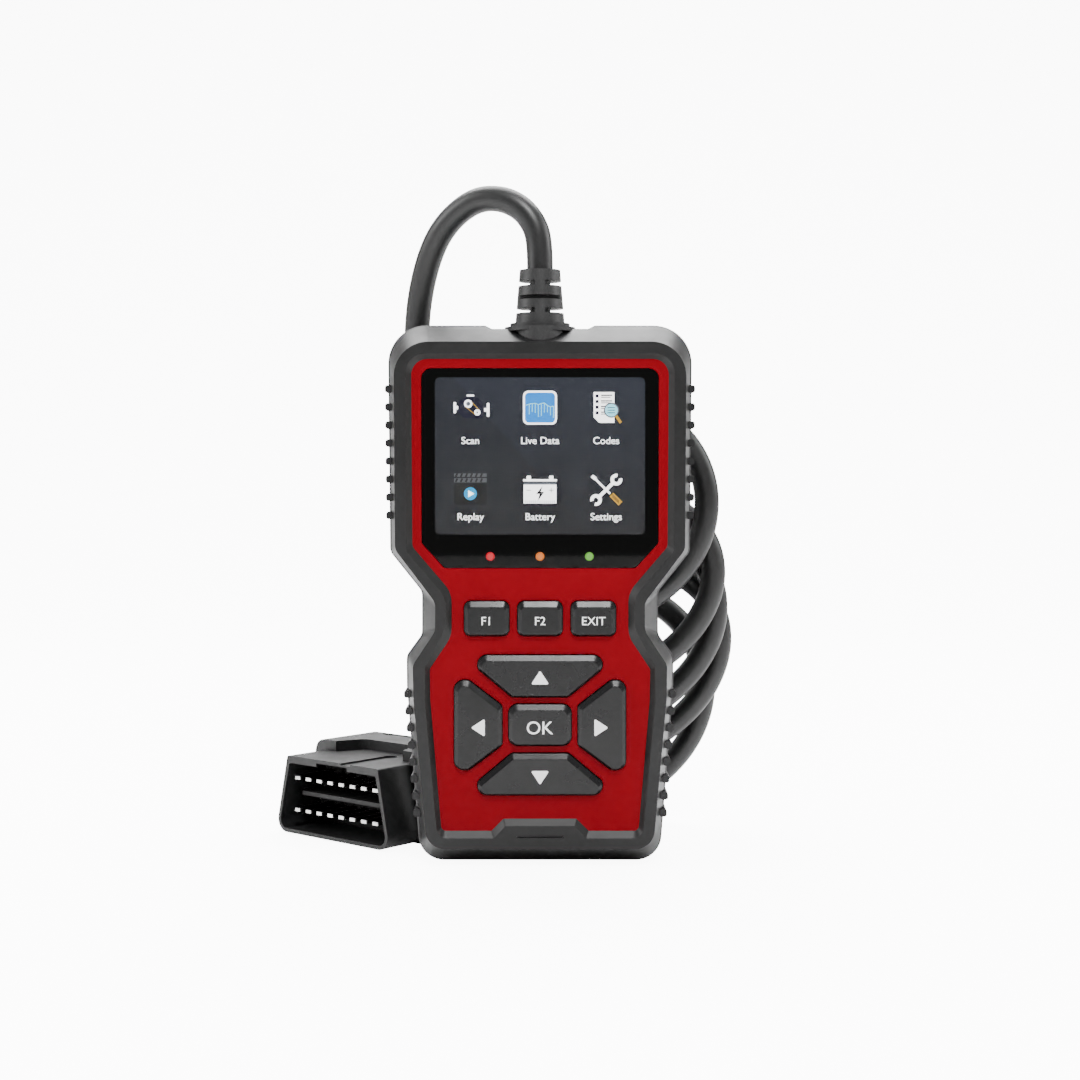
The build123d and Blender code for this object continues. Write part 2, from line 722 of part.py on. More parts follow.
grip_corners = [(grip_half - 3.4, grip_high_z, 3.0), (grip_half, 3.0, 1.5), (grip_half - 3.0, 0.0, 0.8)]
grip_rear = [(13.0, grip_high_z - 2.2, 3.0), (15.5, 3.0, 1.5), (13.5, 0.4, 0.8)]
taper_start = 31.0
with BuildPart() as plug_grip:
    with BuildSketch(plug_plane(taper_start)):
        add_outline(mirrored(grip_corners))
    extrude(amount=taper_start - grip_start)
    with BuildSketch(plug_plane(taper_start)):
        add_outline(mirrored(grip_corners))
    with BuildSketch(plug_plane(grip_end)):
        add_outline(mirrored(grip_rear))
    loft(ruled=True)
    with BuildSketch(plug_plane(shroud_length + 0.02)):
        add_outline(mirrored(shroud_corners), 0.02)
    extrude(amount=10, mode=Mode.SUBTRACT)
    # room for the pin tails
    with BuildSketch(plug_plane(shroud_length + 4)):
        with Locations((0, plug_axis_z)):
            Rectangle(33, 13)
    extrude(amount=4, mode=Mode.SUBTRACT)
    # scallop in the front of the roof, and a finger groove across it
    with BuildSketch(Plane(origin=plug_plane(grip_start).origin + Vector(0, 0, grip_high_z),
                           x_dir=plug_across, z_dir=(0, 0, 1))):
        with BuildLine():
            FilletPolyline((-13.5, -3), (-9.0, 7.5), (9.0, 7.5), (13.5, -3), radius=[3.0, 3.0, 0, 0],
                           close=True)
        make_face()
    extrude(amount=shroud_high_z - grip_high_z, mode=Mode.SUBTRACT)
    with BuildSketch(Plane(origin=plug_plane(31.0).origin + Vector(0, 0, grip_high_z),
                           x_dir=plug_across, z_dir=(0, 0, 1))):
        SlotOverall(26, 4.4)
    extrude(amount=-0.7, mode=Mode.SUBTRACT)
save(plug_grip, "plug_grip")

boot_rear_radius = 4.2
boot_front_radius = 5.8
with BuildPart() as plug_boot:
    for depth, radius in ((boot_end, boot_rear_radius), (grip_end, boot_front_radius)):
        with BuildSketch(plug_plane(depth)):
            with Locations((0, plug_axis_z)):
                Circle(radius)
    loft(ruled=True)
save(plug_boot, "plug_boot")


# ---------------------------------------------------------------- cord
def route_radii(route):
    """One bend radius per inner point: as large as its two runs allow."""
    points = [Vector(*point) for point in route]
    radii = []
    for before, here, after in zip(points, points[1:], points[2:]):
        shorter = min((here - before).length, (after - here).length)
        turn = math.radians((here - before).get_angle(after - here))
        radii.append(0.45 * shorter / math.tan(turn / 2))
    return radii


def cord_tube(route, name):
    """A round tube along straight runs joined by tangent arcs."""
    radii = route_radii(route)
    print(name, "bend radii", [round(radius, 1) for radius in radii])
    first, second = Vector(*route[0]), Vector(*route[1])
    with BuildPart() as tube:
        with BuildLine() as path:
            FilletPolyline(*route, radius=radii)
        with BuildSketch(Plane(origin=first, z_dir=second - first)):
            Circle(cord_diameter / 2)
        sweep(path=path.wires()[0])
    length = path.wires()[0].length
    section = math.pi * cord_diameter ** 2 / 4
    print(name, "length", round(length, 1), "volume over section x length",
          round(tube.part.volume / (section * length), 4))
    save(tube, name)


arch_route = [
    (0, exit_y, exit_top_z), (0, exit_y, 144.4), (-1.3, -1.2, 149.2), (-4.6, -0.2, 153.3),
    (-9.4, 1.6, 155.6), (-14.8, 4.0, 155.7), (-19.7, 6.6, 153.0), (-23.8, 9.2, 148.8),
    (-26.6, 11.6, 143.4), (-28.6, 13.8, 136.8), (-29.9, 15.8, 129.4), (-30.3, 17.0, 120.6),
    (-29.6, 17.4, 110.6), (-27.8, 17.5, 100.2), (-25.4, 17.5, 91.0),
]
cord_tube(arch_route, "cord_arch")

boot_back = plug_plane(boot_end).origin + Vector(0, 0, plug_axis_z)
tail_route = [
    (4.0, 47.2, 4.4), (14.5, 48.4, 3.1), (24.0, 56.5, 3.1), (25.2, 69.0, 3.1), (16.0, 78.6, 3.1),
    (2.6, 79.4, 5.4), tuple(boot_back + Vector(*plug_out) * -8.0), tuple(boot_back),
]
cord_tube(tail_route, "cord_tail")

# the coil behind the reader: its outer shape, leaning from the top turn down to the floor
coil_sections = [          # depth y, middle x and z, half across, half tall
    (14.2, 9.0, 82.0, 35.2, 36.7),
    (36.0, 15.0, 50.0, 34.5, 30.2),
    (50.6, 16.0, 30.6, 29.2, 30.6),
]
coil_hole = 0.45
with BuildPart() as cord_coil:
    for scale, how in ((1.0, Mode.ADD), (coil_hole, Mode.SUBTRACT)):
        for y, x, z, across, tall in coil_sections:
            with BuildSketch(face_plane(y)):
                with Locations((x, z)):
                    Ellipse(across * scale, tall * scale)
        loft(ruled=True, mode=how)
save(cord_coil, "cord_coil")
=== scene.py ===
"""The looks of the handheld OBD code reader: materials, cord, screen picture, legends and small
details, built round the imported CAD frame. Metres, +Z up, the face looks along -Y.
"""
import bpy
import bmesh
import json
import math
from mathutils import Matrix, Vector


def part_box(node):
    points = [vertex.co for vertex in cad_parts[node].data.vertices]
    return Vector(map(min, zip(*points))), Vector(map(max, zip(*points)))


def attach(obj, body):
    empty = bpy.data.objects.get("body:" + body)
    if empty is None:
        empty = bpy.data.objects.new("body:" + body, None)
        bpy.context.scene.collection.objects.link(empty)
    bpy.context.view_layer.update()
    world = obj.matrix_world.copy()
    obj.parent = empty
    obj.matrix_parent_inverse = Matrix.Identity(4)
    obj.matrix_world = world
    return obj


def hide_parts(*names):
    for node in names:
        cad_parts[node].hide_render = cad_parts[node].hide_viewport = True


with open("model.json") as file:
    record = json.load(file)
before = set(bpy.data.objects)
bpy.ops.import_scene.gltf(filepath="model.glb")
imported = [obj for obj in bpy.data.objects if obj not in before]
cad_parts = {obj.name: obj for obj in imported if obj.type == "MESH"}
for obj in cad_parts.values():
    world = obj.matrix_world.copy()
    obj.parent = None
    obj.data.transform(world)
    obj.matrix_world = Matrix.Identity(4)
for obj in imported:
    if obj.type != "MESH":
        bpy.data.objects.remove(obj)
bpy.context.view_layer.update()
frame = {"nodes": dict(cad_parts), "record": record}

MM = 0.001
SCREEN_HALF = 24.3         # the lit picture, mm
SCREEN_LOW = 76.2
SCREEN_HIGH = 112.6
SLANT = 1.127              # edge of the painted reflection, a paler corner: x times this, plus z, is SLANT_AT
SLANT_AT = 89.6
BODY_MIDDLE_Z = 62.5
PLASTIC_IOR = 1.5
nodes = frame["nodes"]


# ---------------------------------------------------------------- camera, floor and light
CAMERA_BACK = 0.424        # distance in front of the body's middle
CAMERA_UP = 0.090
LENS_MM = 59.92
SENSOR_MM = 36.0
SEEN_WHITE = 9.0           # how much the floor glows, only as the camera sees it
FRAMING_SHIFT = -0.0601    # the picture's middle lies a little below the lens's height


def make_camera():
    data = bpy.data.cameras.new("camera")
    data.sensor_width = SENSOR_MM
    data.lens = LENS_MM
    data.shift_y = FRAMING_SHIFT
    data.clip_start = 0.01
    data.clip_end = 20
    camera = bpy.data.objects.new("camera", data)
    camera.location = (0, -CAMERA_BACK, CAMERA_UP)
    camera.rotation_euler = (math.radians(90), 0, 0)
    bpy.context.collection.objects.link(camera)
    bpy.context.scene.camera = camera


def link(obj):
    bpy.context.collection.objects.link(obj)
    return obj


def new_nodes(material):
    """Empty the material's node tree and give it an output."""
    material.use_nodes = True
    tree = material.node_tree
    tree.nodes.clear()
    return tree, tree.nodes.new("ShaderNodeOutputMaterial")


def make_stage():
    """A pale floor that curves up into a backdrop."""
    back, front, side, bend = 1.1, -1.6, 2.6, 0.5
    profile = [(front, 0.0), (back - bend, 0.0)]
    profile += [(back - bend + bend * math.sin(a), bend - bend * math.cos(a))
                for a in (math.radians(9 * i) for i in range(1, 11))]
    profile.append((back, 2.6))
    mesh = bpy.data.meshes.new("floor")
    points = [(x, y, z) for y, z in profile for x in (-side, side)]
    faces = [(2 * i, 2 * i + 1, 2 * i + 3, 2 * i + 2) for i in range(len(profile) - 1)]
    mesh.from_pydata(points, [], faces)
    for face in mesh.polygons:
        face.use_smooth = True
    floor = link(bpy.data.objects.new("floor", mesh))
    floor.location.z = -0.0002
    material = bpy.data.materials.new("pale_floor")
    tree, output = new_nodes(material)
    shader = tree.nodes.new("ShaderNodeBsdfPrincipled")
    shader.inputs["Base Color"].default_value = (0.92, 0.92, 0.92, 1)
    shader.inputs["Roughness"].default_value = 0.9
    shader.inputs["Emission Color"].default_value = (1, 1, 1, 1)
    path = tree.nodes.new("ShaderNodeLightPath")
    tree.links.new(math_node(tree, "MULTIPLY", path.outputs["Is Camera Ray"], SEEN_WHITE),
                   shader.inputs["Emission Strength"])
    tree.links.new(shader.outputs[0], output.inputs["Surface"])
    mesh.materials.append(material)


def make_light(name, place, aim, size, power, size_y=None):
    data = bpy.data.lights.new(name, "AREA")
    data.shape = "RECTANGLE"
    data.size = size
    data.size_y = size_y or size
    data.energy = power
    lamp = link(bpy.data.objects.new(name, data))
    lamp.location = place
    lamp.rotation_euler = (Vector(aim) - Vector(place)).to_track_quat("-Z", "Y").to_euler()


def make_world():
    """Bright all round, dimmer from behind the camera, as in a studio tent with a dark front."""
    world = bpy.data.worlds.new("studio")
    bpy.context.scene.world = world
    world.use_nodes = True
    tree = world.node_tree
    tree.nodes.clear()
    where = tree.nodes.new("ShaderNodeTexCoord")
    split = tree.nodes.new("ShaderNodeSeparateXYZ")
    ramp = tree.nodes.new("ShaderNodeMapRange")
    ramp.inputs["From Min"].default_value = -0.95
    ramp.inputs["From Max"].default_value = -0.1
    ramp.inputs["To Min"].default_value = 0.25
    ramp.inputs["To Max"].default_value = 1.25
    background = tree.nodes.new("ShaderNodeBackground")
    output = tree.nodes.new("ShaderNodeOutputWorld")
    tree.links.new(where.outputs["Generated"], split.inputs[0])
    tree.links.new(split.outputs["Y"], ramp.inputs["Value"])
    tree.links.new(ramp.outputs[0], background.inputs["Strength"])
    tree.links.new(background.outputs[0], output.inputs["Surface"])


# ---------------------------------------------------------------- materials
PATCH_SIZE = 0.012         # of uneven colour, in metres
SMUDGE_SIZE = 0.02         # of uneven gloss
PIXEL_GRAIN = 0.00012
RIM_Y = (-9.3 * MM, -9.2 * MM)     # from here forward a face of the case belongs to the rim, where the painted recess shade may fall
RIM_LEAN = (-0.003, -0.001)        # metres from the body's middle, times how far a face leans in; the painted shade's mask
PIN_TIP = 1.75 * MM        # how far behind the plug's mouth a pin stops being bright and its painted shade starts
PIN_FADE = 0.3 * MM


def wire(tree, value, socket):
    """Link an output to the socket, or set it to a plain value."""
    if isinstance(value, bpy.types.NodeSocket):
        tree.links.new(value, socket)
    else:
        socket.default_value = value


def math_node(tree, kind, first, second):
    node = tree.nodes.new("ShaderNodeMath")
    node.operation = kind
    tree.links.new(first, node.inputs[0])
    wire(tree, second, node.inputs[1])
    return node.outputs[0]


def vector_node(tree, kind, first, second):
    """A vector, or the one number of a dot product."""
    node = tree.nodes.new("ShaderNodeVectorMath")
    node.operation = kind
    tree.links.new(first, node.inputs[0])
    wire(tree, second, node.inputs[1])
    return node.outputs["Value" if kind == "DOT_PRODUCT" else "Vector"]


def noise(tree, place, size, detail=2.0, rough=0.5):
    """A noise of features about that size, in metres, in the object's own space."""
    node = tree.nodes.new("ShaderNodeTexNoise")
    node.inputs["Scale"].default_value = 1.0 / size
    node.inputs["Detail"].default_value = detail
    node.inputs["Roughness"].default_value = rough
    tree.links.new(place, node.inputs["Vector"])
    return node.outputs["Fac"]


def spread(tree, value, low, high, from_low=0.3, from_high=0.7):
    node = tree.nodes.new("ShaderNodeMapRange")
    node.inputs["From Min"].default_value = from_low
    node.inputs["From Max"].default_value = from_high
    node.inputs["To Min"].default_value = low
    node.inputs["To Max"].default_value = high
    tree.links.new(value, node.inputs["Value"])
    return node.outputs[0]


def two_tone(tree, value, dark, light):
    node = tree.nodes.new("ShaderNodeMix")
    node.data_type = "RGBA"
    node.inputs["A"].default_value = (*dark, 1)
    node.inputs["B"].default_value = (*light, 1)
    tree.links.new(value, node.inputs["Factor"])
    return node.outputs["Result"]


def bump(tree, height, distance):
    node = tree.nodes.new("ShaderNodeBump")
    node.inputs["Distance"].default_value = distance
    node.inputs["Strength"].default_value = 1.0
    tree.links.new(height, node.inputs["Height"])
    return node.outputs["Normal"]


def surface(name, colour, rough=0.45, metal=0.0, mottle=0.12, grain_size=0.00035, grain_depth=0.00001,
            smudge=0.08, shine=0.5):
    """A moulded or machined surface: grain, uneven colour and uneven gloss."""
    material = bpy.data.materials.new(name)
    tree, output = new_nodes(material)
    shader = tree.nodes.new("ShaderNodeBsdfPrincipled")
    tree.links.new(shader.outputs[0], output.inputs["Surface"])
    place = tree.nodes.new("ShaderNodeTexCoord").outputs["Object"]
    patches = noise(tree, place, PATCH_SIZE, 3.0, 0.6)
    fine = noise(tree, place, grain_size, 2.0, 0.55)
    dark = [c * (1 - mottle) for c in colour]
    light = [min(1, c * (1 + mottle)) for c in colour]
    tree.links.new(two_tone(tree, spread(tree, patches, 0, 1), dark, light), shader.inputs["Base Color"])
    gloss = spread(tree, noise(tree, place, SMUDGE_SIZE, 4.0, 0.7), rough - smudge, rough + smudge)
    tree.links.new(gloss, shader.inputs["Roughness"])
    shader.inputs["Metallic"].default_value = metal
    shader.inputs["IOR"].default_value = PLASTIC_IOR
    shader.inputs["Specular IOR Level"].default_value = shine
    tree.links.new(bump(tree, fine, grain_depth), shader.inputs["Normal"])
    return material


def darken(material, amount, dark):
    """Fade the material's colour to the dark one where the amount is 1; used here to paint shade."""
    tree = material.node_tree
    shader = next(n for n in tree.nodes if n.type == "BSDF_PRINCIPLED")
    mix = tree.nodes.new("ShaderNodeMix")
    mix.data_type = "RGBA"
    tree.links.new(amount, mix.inputs["Factor"])
    tree.links.new(shader.inputs["Base Color"].links[0].from_socket, mix.inputs["A"])
    mix.inputs["B"].default_value = (*dark, 1)
    tree.links.new(mix.outputs["Result"], shader.inputs["Base Color"])


def paint_recess_shade(material, dark):
    """Paint shade on the slope inside the rim, whose faces lean towards the panel: its colour fades to
    near-black there, standing in for the shadow in the recess.
    """
    tree = material.node_tree
    coords = tree.nodes.new("ShaderNodeTexCoord")
    outward = vector_node(tree, "SUBTRACT", coords.outputs["Object"], (0, 0, BODY_MIDDLE_Z * MM))
    level = vector_node(tree, "MULTIPLY", outward, (1, 0, 1))
    lean = vector_node(tree, "DOT_PRODUCT", level, coords.outputs["Normal"])
    leaning = spread(tree, lean, 1, 0, *RIM_LEAN)
    split = tree.nodes.new("ShaderNodeSeparateXYZ")
    tree.links.new(coords.outputs["Object"], split.inputs[0])
    in_front = spread(tree, split.outputs["Y"], 1, 0, *RIM_Y)
    darken(material, math_node(tree, "MULTIPLY", leaning, in_front), dark)


def paint_pin_shade(material, mouth, inward, dark):
    """Pins: bright metal tips; the shafts further back in the plug are painted dull and dark as its shade."""
    tree = material.node_tree
    place = tree.nodes.new("ShaderNodeTexCoord").outputs["Object"]
    start = inward.dot(mouth) + PIN_TIP
    depth = vector_node(tree, "DOT_PRODUCT", place, inward)
    darken(material, spread(tree, depth, 0, 1, start, start + PIN_FADE), dark)


def glow(name, colour, strength=1.0):
    """A lit part of the screen's picture or a light, with a fine grain of pixels."""
    material = bpy.data.materials.new(name)
    tree, output = new_nodes(material)
    shader = tree.nodes.new("ShaderNodeBsdfPrincipled")
    place = tree.nodes.new("ShaderNodeTexCoord").outputs["Object"]
    grain = spread(tree, noise(tree, place, PIXEL_GRAIN), 0, 1)
    dim = [c * 0.9 for c in colour]
    tree.links.new(two_tone(tree, grain, dim, colour), shader.inputs["Emission Color"])
    shader.inputs["Base Color"].default_value = (*[c * 0.1 for c in colour], 1)
    shader.inputs["Roughness"].default_value = 0.5
    shader.inputs["Emission Strength"].default_value = strength
    tree.links.new(shader.outputs[0], output.inputs["Surface"])
    return material


def screen_glow(name):
    """The picture's dark ground: a fade from top to bottom, with a painted reflection, a paler corner beyond
    a slanting edge.
    """
    material = bpy.data.materials.new(name)
    tree, output = new_nodes(material)
    shader = tree.nodes.new("ShaderNodeBsdfPrincipled")
    split = tree.nodes.new("ShaderNodeSeparateXYZ")
    tree.links.new(tree.nodes.new("ShaderNodeTexCoord").outputs["Object"], split.inputs[0])
    across, up = split.outputs["X"], split.outputs["Z"]
    fade = spread(tree, up, 0, 1, SCREEN_LOW * MM, SCREEN_HIGH * MM)
    ground = two_tone(tree, fade, srgb(12, 13, 17), srgb(36, 41, 52))
    slant = tree.nodes.new("ShaderNodeMath")
    slant.operation = "MULTIPLY_ADD"
    tree.links.new(across, slant.inputs[0])
    slant.inputs[1].default_value = SLANT
    tree.links.new(up, slant.inputs[2])
    # painted reflection: the ground glows brighter beyond the slanting edge
    painted_reflection = spread(tree, slant.outputs[0], 1.0, 1.35, SLANT_AT * MM, (SLANT_AT + 0.5) * MM)
    tree.links.new(ground, shader.inputs["Emission Color"])
    tree.links.new(painted_reflection, shader.inputs["Emission Strength"])
    shader.inputs["Base Color"].default_value = (0.002, 0.002, 0.003, 1)
    shader.inputs["Roughness"].default_value = 0.3
    tree.links.new(shader.outputs[0], output.inputs["Surface"])
    return material


def clear_window(name):
    material = bpy.data.materials.new(name)
    tree, output = new_nodes(material)
    shader = tree.nodes.new("ShaderNodeBsdfPrincipled")
    shader.inputs["Base Color"].default_value = (1, 1, 1, 1)
    shader.inputs["Roughness"].default_value = 0.02
    shader.inputs["Transmission Weight"].default_value = 1.0
    shader.inputs["IOR"].default_value = 1.45
    tree.links.new(shader.outputs[0], output.inputs["Surface"])
    return material


def srgb(red, green, blue):
    """Linear colour from the usual 0 to 255 numbers."""
    def one(value):
        value /= 255
        return value / 12.92 if value <= 0.04045 else ((value + 0.055) / 1.055) ** 2.4
    return one(red), one(green), one(blue)


def paint(obj, *materials):
    """Give an object these materials, all its faces the first."""
    obj.data.materials.clear()
    for material in materials:
        obj.data.materials.append(material)


def make_materials():
    return {
        "case": surface("case_plastic", (0.0035, 0.0035, 0.0037), rough=0.40, shine=0.4,
                        grain_depth=0.000006),
        "insert": surface("insert_plastic", (0.0015, 0.0015, 0.0015), rough=0.6, grain_depth=0.000006),
        "key": surface("key_plastic", (0.004, 0.004, 0.0042), rough=0.27, shine=0.35,
                       grain_depth=0.000004),
        "panel": surface("panel_red", (0.17, 0.0003, 0.0045), rough=0.42, shine=0.06, mottle=0.05,
                         grain_depth=0.000003, grain_size=0.00025),
        "mask": surface("window_mask", (0.001, 0.001, 0.001), rough=0.5, grain_depth=0.0000005),
        "lens": clear_window("lens_acrylic"),
        "cord": surface("cord_cover", (0.004, 0.004, 0.0042), rough=0.42, grain_size=0.0006,
                        grain_depth=0.00001),
        "relief": surface("relief_rubber", (0.008, 0.008, 0.0083), rough=0.5, grain_depth=0.000008),
        "plug": surface("plug_plastic", (0.006, 0.006, 0.0063), rough=0.45, grain_depth=0.00001),
        "pin": surface("pin_tin", (0.9, 0.9, 0.88), rough=0.3, metal=1.0, grain_depth=0.000002),
        "screw": surface("screw_zinc", (0.35, 0.35, 0.36), rough=0.35, metal=1.0),
        "board": surface("board_green", (0.02, 0.14, 0.05), rough=0.35),
        "chip": surface("chip_epoxy", (0.015, 0.015, 0.016), rough=0.55),
        "steel": surface("sheet_steel", (0.6, 0.6, 0.6), rough=0.3, metal=1.0),
        "nylon": surface("nylon_white", (0.75, 0.75, 0.72), rough=0.5),
        "film": surface("flex_amber", (0.5, 0.24, 0.04), rough=0.35),
        "mat": surface("mat_silicone", (0.22, 0.22, 0.23), rough=0.6),
        "gold": surface("contact_gold", (0.9, 0.65, 0.3), rough=0.3, metal=1.0),
        "can": surface("can_aluminium", (0.8, 0.8, 0.82), rough=0.25, metal=1.0),
        "wire": surface("wire_red", (0.35, 0.02, 0.02), rough=0.4),
        "label": surface("label_film", (0.10, 0.10, 0.105), rough=0.35, grain_depth=0.000002),
        "legend": surface("legend_white", (0.95, 0.95, 0.95), rough=0.5, mottle=0.03,
                          grain_depth=0.000002),
    }


NODE_LOOKS = {
    "front_case": "case", "back_case": "case", "face_panel": "panel", "screen_lens": "lens",
    "lens_gasket": "mask", "lcd_glass": "mask", "lcd_frame": "steel", "lcd_backlight": "nylon",
    "lcd_flex": "film", "main_board": "board", "keypad_mat": "mat", "key_contacts": "gold",
    "case_screws": "screw", "processor": "chip", "memory_chip": "chip", "can_transceiver": "chip",
    "voltage_regulator": "chip", "inductor": "chip", "crystal": "steel", "capacitors": "can",
    "buzzer": "chip", "wire_header": "nylon", "wire_plug": "nylon", "wire_leads": "wire",
    "strain_relief": "relief", "plug_shell": "plug", "plug_insert": "insert", "plug_pins": "pin",
    "plug_grip": "plug", "plug_boot": "relief", "back_label": "label",
}


def dress_nodes(looks):
    mouth = next(m for m in frame["record"]["mounts"] if m["name"] == "obd_plug")
    inward = -Vector(mouth["axis"]).normalized()
    # painted shade: the pins' shafts behind the mouth turn near-black
    paint_pin_shade(looks["pin"], Vector(mouth["pos_m"]), inward, (0.01, 0.01, 0.01))
    # painted shade: the slope inside the rim turns near-black
    paint_recess_shade(looks["case"], (0.0012, 0.0012, 0.0012))
    for name, obj in nodes.items():
        if name in NODE_LOOKS:
            paint(obj, looks[NODE_LOOKS[name]])
        elif name.startswith("key_"):
            paint(obj, looks["key"])
        elif name.startswith("plunger_"):
            paint(obj, looks["chip"])
    lights = {"led_red": (230, 20, 40), "led_orange": (245, 130, 40), "led_green": (115, 195, 70)}
    for name, colour in lights.items():
        paint(nodes[name], glow(name + "_lit", srgb(*colour), 1.0))


# ---------------------------------------------------------------- cord
CORD_DIAMETER = 6.1
STEPS_A_TURN = 14
COIL_START = 0.06
COIL_TURNS = 5.07
COIL_TILT = math.radians(27)

ARCH_ROUTE = [
    (0, -1.5, 138.1), (0, -1.5, 144.4), (-1.3, -1.2, 149.2), (-4.6, -0.2, 153.3), (-9.4, 1.6, 155.6),
    (-14.8, 4.0, 155.7), (-19.7, 6.6, 153.0), (-23.8, 9.2, 148.8), (-26.6, 11.6, 143.4),
    (-28.6, 13.8, 136.8), (-29.9, 15.8, 129.4), (-30.3, 17.0, 120.6), (-29.6, 17.4, 110.6),
    (-27.8, 17.5, 100.2), (-25.4, 17.5, 91.0),
]
TAIL_ROUTE = [
    (4.0, 47.2, 4.4), (14.5, 48.4, 3.1), (24.0, 56.5, 3.1), (25.2, 69.0, 3.1), (16.0, 78.6, 3.1),
    (2.6, 79.4, 5.4), (-9.21, 65.30, 10.0), (-14.46, 59.26, 10.0),
]

# how the turns change from the top one to the last: turn, value
TURN_ACROSS = [(0, 33), (0.5, 33.5), (1.5, 33), (3.5, 33), (4.3, 31), (5.2, 27)]
TURN_TALL = [(0, 33), (0.5, 31), (1.5, 25.5), (3.5, 25.5), (4.2, 27), (5.2, 26)]
TURN_LEAN = [(0, 0.4), (0.5, 0.5), (1.5, 1.0), (5.2, 1.0)]
TURN_RIGHT_X = [(0, 41), (0.5, 41.2), (1.5, 43.5), (2.5, 44.6), (3.5, 46.3), (4.5, 42.3), (5.2, 42)]
TURN_RIGHT_Z = [(0, 92), (0.5, 82.6), (1.5, 64.6), (2.5, 56.0), (3.5, 47.6), (4.25, 36.2), (4.5, 36.0),
                (5.2, 33.0)]
TURN_DEPTH = [(0, 17.0), (5.2, 48.7)]


def between(table, at):
    """Straight-line value of a (place, value) table."""
    for (a, low), (b, high) in zip(table, table[1:]):
        if at <= b:
            return low + (high - low) * (at - a) / (b - a)
    return table[-1][1]


def coil_point(turn):
    """One point of the loose coil; turn 0 is the left side of the top turn."""
    across, tall = between(TURN_ACROSS, turn), between(TURN_TALL, turn)
    lean = COIL_TILT * between(TURN_LEAN, turn)
    reach = math.hypot(across * math.cos(lean), tall * math.sin(lean))
    rise = (across ** 2 - tall ** 2) * math.sin(lean) * math.cos(lean) / reach
    mid_x = between(TURN_RIGHT_X, turn) - reach
    mid_z = between(TURN_RIGHT_Z, turn) - rise
    # a quadratic spline's turn is smaller than its control points' by this factor
    cut = (3 + math.cos(2 * math.pi / STEPS_A_TURN)) / 4
    angle = math.pi + 2 * math.pi * turn
    u, v = across * math.cos(angle) / cut, tall * math.sin(angle) / cut
    return (mid_x + u * math.cos(lean) - v * math.sin(lean), between(TURN_DEPTH, turn),
            mid_z + u * math.sin(lean) + v * math.cos(lean))


def cord_route():
    steps = int((COIL_TURNS - COIL_START) * STEPS_A_TURN)
    coil = [coil_point(COIL_START + i / STEPS_A_TURN) for i in range(steps + 1)]
    return ARCH_ROUTE + coil + TAIL_ROUTE


def make_cord(look):
    route = cord_route()
    data = bpy.data.curves.new("cord", "CURVE")
    data.dimensions = "3D"
    data.bevel_depth = CORD_DIAMETER / 2 * MM
    data.bevel_resolution = 8
    data.resolution_u = 8
    data.use_fill_caps = True
    spline = data.splines.new("NURBS")
    spline.points.add(len(route) - 1)
    for point, place in zip(spline.points, route):
        point.co = (*[c * MM for c in place], 1)
    spline.order_u = 3
    spline.use_endpoint_u = True
    data.materials.append(look)
    cord = link(bpy.data.objects.new("cord", data))
    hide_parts("cord_arch", "cord_coil", "cord_tail")
    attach(cord, "case")
    return cord


# ---------------------------------------------------------------- flat shapes, mm in x and z
def arc(x, z, radius, start=0.0, end=360.0, steps=28):
    """Points along an arc, angles in degrees from +x towards +z."""
    angles = [math.radians(start + (end - start) * i / steps) for i in range(steps + 1)]
    return [(x + radius * math.cos(a), z + radius * math.sin(a)) for a in angles]


def disc(x, z, radius):
    return arc(x, z, radius)[:-1]


def panel(x, z, width, tall, radius=0.0):
    """A rectangle about its middle, with round corners."""
    across, up = width / 2 - radius, tall / 2 - radius
    if not radius:
        return [(x + across, z + up), (x - across, z + up), (x - across, z - up), (x + across, z - up)]
    corners = ((across, up, 0), (-across, up, 90), (-across, -up, 180), (across, -up, 270))
    return [p for dx, dz, turn in corners for p in arc(x + dx, z + dz, radius, turn, turn + 90, 6)]


def stroke(x0, z0, x1, z1, width):
    """A straight line of some width."""
    length = math.hypot(x1 - x0, z1 - z0)
    dx, dz = -(z1 - z0) / length * width / 2, (x1 - x0) / length * width / 2
    return [(x0 + dx, z0 + dz), (x0 - dx, z0 - dz), (x1 - dx, z1 - dz), (x1 + dx, z1 + dz)]


def turned(shape, x, z, angle):
    """The shape turned about a point, in degrees."""
    a = math.radians(angle)
    return [(x + (px - x) * math.cos(a) - (pz - z) * math.sin(a),
             z + (px - x) * math.sin(a) + (pz - z) * math.cos(a)) for px, pz in shape]


def prisms(name, shapes, front, thick, material, body):
    """Thin solid shapes facing -Y, their faces at depth front (mm)."""
    mesh = bpy.data.meshes.new(name)
    build = bmesh.new()
    for shape in shapes:
        face = build.faces.new([build.verts.new((x * MM, (front + thick) * MM, z * MM)) for x, z in shape])
        raised = bmesh.ops.extrude_face_region(build, geom=[face])["geom"]
        for vert in raised:
            if isinstance(vert, bmesh.types.BMVert):
                vert.co.y = front * MM
    bmesh.ops.recalc_face_normals(build, faces=build.faces)
    build.to_mesh(mesh)
    build.free()
    mesh.materials.append(material)
    piece = link(bpy.data.objects.new(name, mesh))
    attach(piece, body)
    return piece


def lettering(name, words, x, z, front, size, material, body, bold=0.0, thick=0.02):
    """A word facing -Y, its middle at x and z."""
    data = bpy.data.curves.new(name, "FONT")
    data.body = words
    data.size = size * MM
    data.offset = bold * MM
    data.extrude = thick / 2 * MM
    data.align_x = "CENTER"
    data.align_y = "CENTER"
    data.resolution_u = 6
    data.materials.append(material)
    piece = link(bpy.data.objects.new(name, data))
    piece.location = (x * MM, (front + thick / 2) * MM, z * MM)
    piece.rotation_euler = (math.radians(90), 0, 0)
    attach(piece, body)
    return piece


